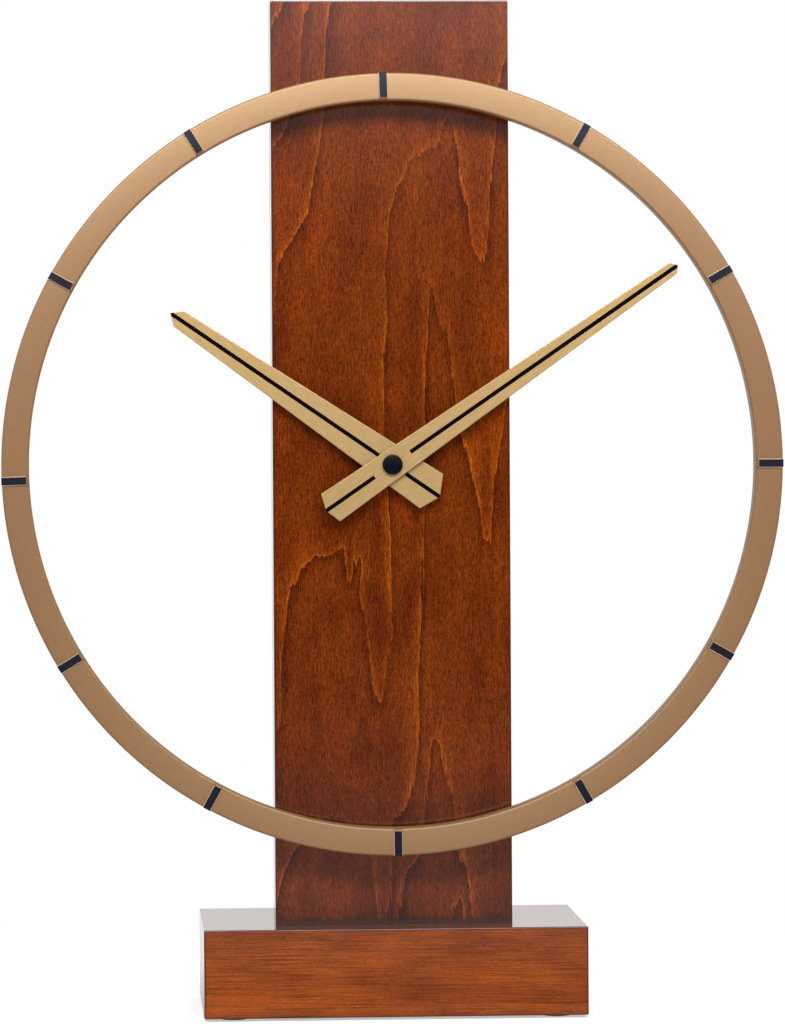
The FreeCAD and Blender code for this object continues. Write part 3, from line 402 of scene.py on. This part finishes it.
def panelLines(tree, place):
    spot = addNode(tree, "SeparateXYZ", [place])
    low, high = panelLow / mm, panelHigh / mm
    face = addNode(tree, "CombineXYZ", [spot.outputs["X"], spot.outputs["Z"]])
    upsideDown = addNode(tree, "VectorMath", [face, (-1, -1, 0), (0, low.z + high.z, 0)],
                         operation="MULTIPLY_ADD")
    behind = addNode(tree, "Math", [spot.outputs["Y"], (low.y + high.y) / 2], operation="GREATER_THAN")
    face = addNode(tree, "MixRGB", [behind, face, upsideDown])
    flat = addNode(tree, "SeparateXYZ", [face])
    climb = readCurve(tree, flat.outputs["Y"], panelClimb)
    drop = readCurve(tree, flat.outputs["X"], panelDrop)
    lines = addNode(tree, "Math", [climb, drop], operation="SUBTRACT")
    for x, z, halfWidth, halfLength, rise in panelSwells:
        away = addNode(tree, "VectorMath", [face, (x, z, 0)], operation="SUBTRACT")
        away = addNode(tree, "VectorMath", [away, (1 / halfWidth, 1 / halfLength, 0)], operation="MULTIPLY")
        square = addNode(tree, "VectorMath", [away, away], operation="DOT_PRODUCT")
        bell = addNode(tree, "Math", [math.exp(-1), square.outputs["Value"]], operation="POWER")
        lines = addNode(tree, "Math", [bell, rise, lines], operation="MULTIPLY_ADD")

    # the narrow sides show the lines edge on
    aside = addNode(tree, "Math", [spot.outputs["X"]], operation="ABSOLUTE")
    aside = addNode(tree, "Math", [aside, high.x - panelSide["skin"]], operation="GREATER_THAN")
    edgeOn = addNode(tree, "Math", [spot.outputs["Y"], 1 / panelSide["spacing"]], operation="MULTIPLY")
    edgeOn = addNode(tree, "Math", [spot.outputs["Z"], panelSide["slant"], edgeOn],
                     operation="MULTIPLY_ADD")
    return addNode(tree, "MixRGB", [aside, lines, edgeOn])


baseGrain = {"across": 13.0, "deep": 9.0, "slant": 0.004}  # millimetres up and back from line to line


def baseLines(tree, place):  # lines that lie along the block and slope gently through it
    spot = addNode(tree, "SeparateXYZ", [place])
    lines = addNode(tree, "Math", [spot.outputs["Z"], 1 / baseGrain["across"]], operation="MULTIPLY")
    lines = addNode(tree, "Math", [spot.outputs["Y"], 1 / baseGrain["deep"], lines],
                    operation="MULTIPLY_ADD")
    return addNode(tree, "Math", [spot.outputs["X"], baseGrain["slant"], lines], operation="MULTIPLY_ADD")


# foot is the height in millimetres of the painted shade at the block's foot, where it stands on what is
# below
panelWood = stainedVeneer("stainedMapleVeneer", panelLines, (panelLow, panelHigh), {
    "base": "#9C531A", "deep": "#5A2A14", "pale": "#E0862A", "grain": (0, 0, 1), "lines": 1.0,
    "texture": 1.0, "drawn": 0.25, "foot": 4.5})
baseWood = stainedVeneer("stainedMapleBase", baseLines, (baseLow, baseHigh), {
    "base": "#BA6A26", "deep": "#824317", "pale": "#E08A36", "grain": (1, 0, 0), "lines": 0.2,
    "texture": 0.45, "drawn": 1.0, "foot": 1.0})
ringPaint = copperGoldPaint()
markPaintAndHighlight = roseGoldPaintAndPaintedHighlight()
# satin black film on the marks, even and faintly blue; the cap is glossier and blacker
markBlack = fineGrain("satinBlackStrip", "#0C0D16", "#12131E", roughness=0.4, Specular_IOR_Level=0.12)
capBlack = fineGrain("glossBlackCap", "#03040A", "#05060D", roughness=0.28, depth=0.0,
                     Specular_IOR_Level=0.1)
print("finishes made")

ringShape = {"edge": 1.0 * mm, "edgeSteps": 8, "turnSteps": 288, "weld": 0.002 * mm}


def makeRing():  # a rectangle with rounded corners, spun round the dial
    deselect()
    middle = (0, (ringFront + ringBack) / 2, dialCentre.z + ringRadius - ringWidth / 2)
    bpy.ops.mesh.primitive_plane_add(size=1, location=middle, rotation=(0, math.pi / 2, 0))
    piece = bpy.context.object
    piece.scale = (ringWidth, ringBack - ringFront, 1)
    bpy.ops.object.transform_apply(location=True, rotation=True, scale=True)
    editPiece(piece, "VERT")
    bpy.ops.mesh.select_all(action="SELECT")
    bpy.ops.mesh.bevel(offset=ringShape["edge"], segments=ringShape["edgeSteps"], affect="VERTICES")
    bpy.ops.mesh.select_all(action="SELECT")
    bpy.ops.mesh.delete(type="ONLY_FACE")
    bpy.ops.mesh.select_all(action="SELECT")
    bpy.ops.mesh.spin(steps=ringShape["turnSteps"], angle=2 * math.pi, center=dialCentre, axis=(0, 1, 0))
    bpy.ops.mesh.select_all(action="SELECT")
    bpy.ops.mesh.remove_doubles(threshold=ringShape["weld"])
    bpy.ops.mesh.normals_make_consistent(inside=False)
    return finishPiece(piece, "hour_ring", ringPaint)


ringPiece = makeRing()
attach(ringPiece, "stand")
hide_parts("dial_ring")
print("hour ring modelled")

markShape = {"width": 4.8 * mm, "draft": 0.7 * mm, "rise": 1.05 * mm, "inset": 0.2 * mm, "heel": 0.8 * mm,
             "toe": 0.7 * mm, "corner": 1.2 * mm, "foot": 2.0 * mm, "proud": 0.02 * mm, "steps": 6,
             "smooth": 35}
stripShape = {"width": 3.3 * mm, "thick": 0.15 * mm, "start": 1.0 * mm, "edge": 0.08 * mm, "steps": 2,
              "smooth": 20}


def makeMark():  # a bar across the ring, with drafted sides, a rounded rise and a toe over the ring's edge
    inner = ringInner + markShape["inset"]
    outer = ringRadius + markShape["proud"]
    top = ringFront - markShape["rise"]
    foot = ringFront + markShape["foot"]
    half = markShape["width"] / 2
    piece = addBlock((-half, top, inner), (half, foot, outer))
    pick(piece, "FACE", lambda middle, normal: normal.y < -along)
    share = 1 - markShape["draft"] / half
    bpy.ops.transform.resize(value=(share, 1, 1), center_override=(0, top, 0))
    pick(piece, "EDGE", lambda middle, way: abs(way.x) > along and middle.y < top + tiny
         and middle.z > inner + tiny)
    bpy.ops.mesh.bevel(offset=markShape["toe"], segments=markShape["steps"])
    pick(piece, "EDGE", lambda middle, way: abs(way.x) > along and middle.y < top + tiny
         and middle.z < inner + tiny)
    bpy.ops.mesh.bevel(offset=markShape["heel"], segments=markShape["steps"])
    pick(piece, "EDGE", lambda middle, way: abs(way.x) < across < abs(way.y) and middle.z < inner + tiny)
    bpy.ops.mesh.bevel(offset=markShape["corner"], segments=markShape["steps"])
    return piece


def makeStrip():  # the dark strip along a mark's top and over its outer end
    half = stripShape["width"] / 2
    top = ringFront - markShape["rise"] - stripShape["thick"]
    start = ringInner + markShape["inset"] + stripShape["start"]
    end = ringRadius + stripShape["thick"]
    piece = addBlock((-half, top, start), (half, ringFront, end))
    pick(piece, "EDGE", lambda middle, way: abs(way.x) > along and middle.y < top + tiny
         and middle.z > start + tiny)
    bpy.ops.mesh.bevel(offset=markShape["toe"] + stripShape["thick"], segments=markShape["steps"])
    pick(piece, "EDGE", lambda middle, way: abs(middle.x) > half - tiny and abs(way.x) < across
         and (middle.y < top + markShape["toe"] or middle.z > end - tiny))
    bpy.ops.mesh.bevel(offset=stripShape["edge"], segments=stripShape["steps"])
    return piece


def aroundDial(first, names, material, angle):  # twelve copies, each with its own mesh
    copies = [first]
    for name in names[1:]:
        choose(first)
        bpy.ops.object.duplicate(linked=False)
        copies.append(bpy.context.object)
    for hour, (piece, name) in enumerate(zip(copies, names), start=1):
        low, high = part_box(f"hour_mark_{hour:02d}")
        middle = (low + high) / 2 - dialCentre
        turnOnDial(piece, math.atan2(middle.x, middle.z))
        finishPiece(piece, name, material, angle)
        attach(piece, "stand")
    return copies


marks = aroundDial(makeMark(), [f"ring_mark_{hour:02d}" for hour in range(1, 13)], markPaintAndHighlight,
                   markShape["smooth"])
for hour, piece in enumerate(marks, start=1):
    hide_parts(f"hour_mark_{hour:02d}")
strips = aroundDial(makeStrip(), [f"mark_strip_{hour:02d}" for hour in range(1, 13)], markBlack,
                    stripShape["smooth"])
for piece in strips:
    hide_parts("mark_inlays")
print("hour marks modelled")

hourBearing = 304.62  # degrees clockwise from twelve, at nine minutes past ten
hourHand = {"node": "hour_hand", "body": "hour_set", "bearing": math.radians(hourBearing),
            "length": 116.0 * mm, "tail": 25.0 * mm, "point": 4.4 * mm, "tipWidth": 7.9 * mm,
            "tailWidth": 18.0 * mm, "bore": 2.5 * mm}
minuteHand = {"node": "minute_hand", "body": "minute_set", "bearing": math.radians(hourBearing * 12 % 360),
              "length": 150.8 * mm, "tail": 35.0 * mm, "point": 2.4 * mm, "tipWidth": 5.6 * mm,
              "tailWidth": 14.4 * mm, "bore": 1.75 * mm}
handShape = {"edge": 0.18 * mm, "edgeSteps": 3, "boreSides": 48, "smooth": 12}


def boreHand(piece, radius, front, back):  # the hole that seats a hand on its tube or arbor
    deselect()
    bpy.ops.mesh.primitive_cylinder_add(
        vertices=handShape["boreSides"], radius=radius, depth=4 * (back - front),
        location=(0, (front + back) / 2, 0), rotation=(math.pi / 2, 0, 0))
    drill = bpy.context.object
    choose(piece)
    bpy.ops.object.modifier_add(type="BOOLEAN")
    cut = piece.modifiers[0]
    cut.operation = "DIFFERENCE"
    cut.object = drill
    bpy.ops.object.modifier_apply(modifier=cut.name)
    choose(drill)
    bpy.ops.object.delete()
    editPiece(piece)


def makeHand(hand):  # a flat tapered blade, drawn out to a blunt point at each end, its front edges broken
    low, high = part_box(hand["node"])
    front, back = low.y, high.y
    half = hand["tailWidth"] / 2
    shoulder = hand["length"] - hand["point"]
    heel = hand["point"] - hand["tail"]
    piece = addBlock((-half, front, heel), (half, back, shoulder))
    pick(piece, "FACE", lambda middle, normal: normal.z > along)
    bpy.ops.transform.resize(value=(hand["tipWidth"] / hand["tailWidth"], 1, 1), center_override=(0, 0, 0))
    bpy.ops.mesh.extrude_region_move(TRANSFORM_OT_translate={"value": (0, 0, hand["point"])})
    bpy.ops.transform.resize(value=(0, 1, 1), center_override=(0, 0, 0))
    pick(piece, "FACE", lambda middle, normal: normal.z < -along)
    bpy.ops.mesh.extrude_region_move(TRANSFORM_OT_translate={"value": (0, 0, -hand["point"])})
    bpy.ops.transform.resize(value=(0, 1, 1), center_override=(0, 0, 0))
    bpy.ops.mesh.select_all(action="SELECT")
    bpy.ops.mesh.remove_doubles(threshold=tiny)
    pick(piece, "EDGE", lambda middle, way: middle.y < front + tiny and not (
        abs(way.x) > along and abs(middle.x) < tiny))
    bpy.ops.mesh.bevel(offset=handShape["edge"], segments=handShape["edgeSteps"])
    boreHand(piece, hand["bore"], front, back)
    turnOnDial(piece, hand["bearing"])
    finishPiece(piece, hand["node"] + "_blade", champagneAluminium(hand["bearing"]), handShape["smooth"])
    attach(piece, hand["body"])
    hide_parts(hand["node"])


makeHand(hourHand)
makeHand(minuteHand)
print("hands modelled")

capShape = {"edge": 0.55 * mm, "edgeSteps": 5, "crown": 0.18 * mm, "crownSteps": 3, "crownParts": 5,
            "sides": 64, "smooth": 50}  # each step of the crown is one of the radius's crownParts wide


def makeCap():  # a turned button, its rim rounded and its face crowned a little
    low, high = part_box("centre_cap")
    radius = (high.x - low.x) / 2
    rim = low.y + capShape["crown"]
    deselect()
    bpy.ops.mesh.primitive_cylinder_add(
        vertices=capShape["sides"], radius=radius, depth=high.y - low.y - capShape["crown"],
        location=(0, (high.y + low.y + capShape["crown"]) / 2, dialCentre.z), rotation=(math.pi / 2, 0, 0))
    piece = bpy.context.object
    bpy.ops.object.transform_apply(location=True, rotation=True, scale=True)
    editPiece(piece)
    pick(piece, "FACE", lambda middle, normal: normal.y < -along)
    bpy.ops.mesh.bevel(offset=capShape["edge"], segments=capShape["edgeSteps"])
    steps = capShape["crownSteps"]
    for step in range(steps, 0, -1):  # each step rises less than the last, all of them by the crown
        pick(piece, "FACE", lambda middle, normal: normal.y < -along and middle.y < rim + tiny
             and (middle - Vector((0, middle.y, dialCentre.z))).length < tiny)
        bpy.ops.mesh.inset(thickness=radius / capShape["crownParts"])
        bpy.ops.transform.translate(value=(0, -capShape["crown"] * step / sum(range(steps + 1)), 0))
    finishPiece(piece, "centre_button", capBlack, capShape["smooth"])
    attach(piece, "minute_set")
    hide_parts("centre_cap")


makeCap()
print("cap modelled")

# the other pieces keep their CAD shape. For the cell: where the dark band begins, as a share of its half
# length, and the millimetres of bare steel at each end
cellFinish = {"sleeve": ("#A9ABAF", "#B8BABE"), "band": ("#2C2E33", "#383A40"),
              "steel": ("#A4A6A8", "#BEC0C2"), "film": 1.5, "bandFrom": 0.66, "bareEnd": 1.6}


def cellSleeve():
    # a shrunk film sleeve: plain grey with a dark band at the positive end, and bare steel at both ends
    material, tree, shader = startMaterial("printedCellSleeve", Roughness=0.28, IOR=1.5)
    low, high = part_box("battery_cell")
    contactLow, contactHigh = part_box("positive_contact")
    way = 1 if contactLow.x + contactHigh.x > low.x + high.x else -1
    half = (high.x - low.x) / 2 / mm
    place = inMillimetres(tree)
    spot = addNode(tree, "SeparateXYZ", [place])
    fromMiddle = addNode(tree, "Math", [spot.outputs["X"], (low.x + high.x) / 2 / mm], operation="SUBTRACT")
    toPositive = addNode(tree, "Math", [fromMiddle, way], operation="MULTIPLY")
    toEnd = addNode(tree, "Math", [fromMiddle], operation="ABSOLUTE")
    film = addNode(tree, "TexNoise", {"Vector": place, "Scale": cellFinish["film"], "Detail": 2.0})
    sleeve, band, steel = (
        addNode(tree, "ValToRGB", [film], stops=tuple(zip((0.3, 0.7), cellFinish[part])))
        for part in ("sleeve", "band", "steel"))
    banded = addNode(tree, "Math", [toPositive, half * cellFinish["bandFrom"]], operation="GREATER_THAN")
    bare = addNode(tree, "Math", [toEnd, half - cellFinish["bareEnd"]], operation="GREATER_THAN")
    colour = addNode(tree, "MixRGB", [banded, sleeve, band])
    colour = addNode(tree, "MixRGB", [bare, colour, steel])
    tree.links.new(bare.outputs[0], shader.inputs["Metallic"])
    joinSurface(tree, shader, colour, film, 0.3, 0.05)
    return material


dress(["upright_panel"], panelWood)
dress(["base_block"], baseWood)
# screen-printed ink: a dead flat black
dress(["hour_hand_stripes", "minute_hand_stripes"],
      fineGrain("printedBlackLine", "#060406", "#0C080A", depth=0.01, Specular_IOR_Level=0.0))
# pressed rubber: charcoal, with hardly any shine
dress(["base_feet"], fineGrain("blackFootRubber", "#161616", "#242424", roughness=0.75))
dress(["rubber_washer"],
      fineGrain("blackWasherRubber", "#141414", "#202020", roughness=0.7))
# ABS from a spark-eroded mould: black with a soft sheen
dress(["movement_front_shell", "movement_back_cover"],
      fineGrain("blackMouldedAbs", "#141415", "#1E1E20", roughness=0.45, depth=0.05))
# moulded acetal, left in its own colour: waxy and off-white, the wheels whiter than the plates
dress(["bearing_plate", "coil_bobbin"],
      fineGrain("naturalAcetal", "#D9D6CB", "#E4E2D8", roughness=0.4))
dress(["hour_wheel", "centre_wheel", "second_wheel", "third_wheel", "intermediate_wheel", "rotor_pinion",
       "reversing_wheel", "minute_arbor"],
      fineGrain("whiteAcetalWheels", "#E6E4DC", "#F0EEE8", roughness=0.35))
dress(["set_knob"], fineGrain("whiteMouldedKnob", "#DEDDD8", "#E8E7E3", roughness=0.45))
# a drop of epoxy, wet-looking, on a board under satin green solder mask
dress(["chip_blob"], fineGrain("blackEpoxyDrop", "#08080A", "#121214", roughness=0.2))
dress(["circuit_board"], fineGrain("greenSolderMask", "#1F5A33", "#28683D", roughness=0.35))
# turned beech, its grain along the dowel
dress(["panel_dowels"],
      fineGrain("beechDowel", "#B98A58", "#D8B080", roughness=0.6, stretch=(1, 1, 0.1)))
dress(["battery_cell"], cellSleeve())
# zinc plate over steel: bluish and bright; the turned aluminium spacers are a little warmer
dress(["base_screws", "ring_screws", "flat_washer"],
      workedMetal("brightZincSteel", "#A8ABB0", "#C9CCD0", roughness=0.28))
dress(["ring_spacers"], workedMetal("turnedSpacerAluminium", "#B9B7B3", "#CCCAC6"))
# turned brass: yellow and bright
dress(["hour_hand_collet", "minute_hand_collet", "threaded_bushing", "hex_nut"],
      workedMetal("turnedBrass", "#B8924E", "#D0AC66", roughness=0.25))
# ground ferrite and rolled silicon steel: dull dark and middle greys
dress(["rotor_magnet"], workedMetal("darkFerrite", "#3A3A3C", "#4A4A4E", roughness=0.45))
dress(["stator", "coil_core"],
      workedMetal("rolledSiliconSteel", "#8D8F93", "#A5A8AC", roughness=0.35))
# enamelled wire wound side by side: red-brown, its fine lines round the coil
dress(["coil_winding"],
      workedMetal("enamelledCopperWire", "#9A4A22", "#C46A38", stretch=(1, 0.05, 0.05)))
# nickel, drawn for the crystal's can and plated on the contacts: pale grey and bright
dress(["quartz_crystal"],
      workedMetal("drawnNickelCan", "#B9BBBD", "#D2D4D6", roughness=0.22))
dress(["positive_contact", "negative_contact"],
      workedMetal("nickelPlatedStrip", "#AEB0B2", "#CACCCE", roughness=0.25))
print("CAD pieces dressed")

# lift is the light added where the floor is seen, and bounce what it sends up; both fade out with distance
# from the clock, in metres
floorFinish = {"colour": "#E6E6E6", "roughness": 0.9, "size": 8.0, "lift": 0.45, "fadeFrom": 0.14,
               "fadeTo": 0.42, "bounce": 1.8, "bounceFrom": 0.3, "bounceTo": 1.1}
floorGlow = (  # how bright the floor is in reflections, by place in metres, below 0 in front of the clock
    (-2.6, 0.05), (-1.76, 0.15), (-1.34, 0.23), (-0.78, 0.48), (-0.5, 0.54), (-0.3, 0.35), (-0.15, 0.25),
    (0.0, 0.6), (0.2, 1.0))


def makeFloor():
    deselect()
    bpy.ops.mesh.primitive_plane_add(size=floorFinish["size"], location=(0, 0, 0))
    floor = bpy.context.object
    floor.name = "floor"
    # a matt sheet that takes the clock's shadow and is white further out
    material, tree, shader = startMaterial("paleMattFloor", Roughness=floorFinish["roughness"],
                                           Base_Color=linearColour(floorFinish["colour"]))
    path = addNode(tree, "LightPath")
    seen = addNode(tree, "Math", [path.outputs["Is Camera Ray"], path.outputs["Is Transmission Ray"]],
                   operation="MAXIMUM")
    place = addNode(tree, "TexCoord").outputs["Object"]
    away = addNode(tree, "VectorMath", [place], operation="LENGTH").outputs["Value"]
    fade = addNode(tree, "MapRange", {
        "Value": away, "From Min": floorFinish["fadeFrom"], "From Max": floorFinish["fadeTo"]},
        interpolation_type="SMOOTHSTEP")
    lift = addNode(tree, "Emission", {"Strength": floorFinish["lift"]})
    near = addNode(tree, "AddShader", [shader.outputs[0], lift])
    visible = addNode(tree, "MixShader", [fade, near, addNode(tree, "Emission", {"Strength": 1.0})])
    bounce = addNode(tree, "MapRange", {
        "Value": away, "From Min": floorFinish["bounceFrom"], "From Max": floorFinish["bounceTo"],
        "To Min": floorFinish["bounce"], "To Max": 0.0}, interpolation_type="SMOOTHSTEP")
    lit = addNode(tree, "AddShader", [shader.outputs[0], addNode(tree, "Emission", {"Strength": bounce})])
    both = addNode(tree, "MixShader", [seen, lit, visible])
    spot = addNode(tree, "SeparateXYZ", [place])
    mirrored = addNode(tree, "Emission", {"Strength": readCurve(tree, spot.outputs["Y"], floorGlow)})
    both = addNode(tree, "MixShader", [path.outputs["Is Glossy Ray"], both, mirrored])
    tree.links.new(both.outputs[0], tree.nodes["Material Output"].inputs["Surface"])
    floor.data.materials.append(material)


# how bright the room is in reflections, by how steeply up one looks: dark in front, under a pale ceiling
roomGlow = ((-0.1, 0.05), (0.0, 0.0), (0.03, 0.0), (0.045, 0.06), (0.062, 0.62), (0.075, 1.5), (0.2, 1.6))
# by how far back one looks, from -1 to 1: where reflections turn white, and where the soft light rises from
# dim to bright
roomLight = {"whiteFrom": -0.75, "whiteTo": -0.05, "riseFrom": -0.1, "riseTo": 0.5, "dim": 0.26,
             "bright": 0.75}
white = (1, 1, 1, 1)


def makeWorld():
    world = bpy.data.worlds.new("paleStudio")
    bpy.context.scene.world = world
    world.use_nodes = True
    tree = world.node_tree
    path = addNode(tree, "LightPath")
    seen = addNode(tree, "Math", [path.outputs["Is Camera Ray"], path.outputs["Is Transmission Ray"]],
                   operation="MAXIMUM")
    direction = addNode(tree, "SeparateXYZ", [addNode(tree, "TexCoord").outputs["Generated"]])
    front = readCurve(tree, direction.outputs["Z"], roomGlow)
    sideways = addNode(tree, "MapRange", {
        "Value": direction.outputs["Y"], "From Min": roomLight["whiteFrom"],
        "From Max": roomLight["whiteTo"]}, interpolation_type="SMOOTHSTEP")
    room = addNode(tree, "MixRGB", [sideways, front, white])
    soft = addNode(tree, "MapRange", {
        "Value": direction.outputs["Y"], "From Min": roomLight["riseFrom"], "From Max": roomLight["riseTo"],
        "To Min": roomLight["dim"], "To Max": roomLight["bright"]}, interpolation_type="SMOOTHSTEP")
    unseen = addNode(tree, "MixRGB", [path.outputs["Is Glossy Ray"], soft, room])
    colour = addNode(tree, "MixRGB", [seen, unseen, white])
    tree.links.new(colour.outputs[0], tree.nodes["Background"].inputs["Color"])


softbox = {"place": (0.0, -0.95, 0.9), "aim": (0, 0, 0.9), "width": 1.3, "height": 0.36, "watts": 21.5,
           "spread": 120}


def makeLamp():
    deselect()
    bpy.ops.object.light_add(type="AREA", location=softbox["place"])
    lamp = bpy.context.object
    lamp.name = "overheadSoftbox"
    lamp.data.shape = "RECTANGLE"
    lamp.data.size, lamp.data.size_y = softbox["width"], softbox["height"]
    lamp.data.energy = softbox["watts"]
    lamp.data.spread = math.radians(softbox["spread"])
    towards = Vector(softbox["aim"]) - Vector(softbox["place"])
    lamp.rotation_euler = towards.to_track_quat("-Z", "Y").to_euler()


cameraView = {"place": Vector((-127.5, -2314.3, 266.6)) * mm, "turn": 3.204, "tilt": 1.202, "roll": -0.33,
              "lens": 241.86, "sensor": 36.0, "near": 0.05, "far": 50}


def makeCamera():
    deselect()
    bpy.ops.object.camera_add(location=cameraView["place"])
    camera = bpy.context.object
    camera.name = "frontView"
    camera.data.sensor_fit = "HORIZONTAL"
    camera.data.sensor_width = cameraView["sensor"]
    camera.data.lens = cameraView["lens"]
    camera.data.clip_start, camera.data.clip_end = cameraView["near"], cameraView["far"]
    turn = Matrix.Rotation(math.radians(-cameraView["turn"]), 4, "Z")
    tilt = Matrix.Rotation(math.radians(90 - cameraView["tilt"]), 4, "X")
    roll = Matrix.Rotation(math.radians(cameraView["roll"]), 4, "Z")
    camera.matrix_world = Matrix.Translation(cameraView["place"]) @ turn @ tilt @ roll
    bpy.context.scene.camera = camera


makeFloor()
makeWorld()
makeLamp()
makeCamera()
bpy.context.scene.view_settings.view_transform = "Standard"
print("floor, light and camera set")
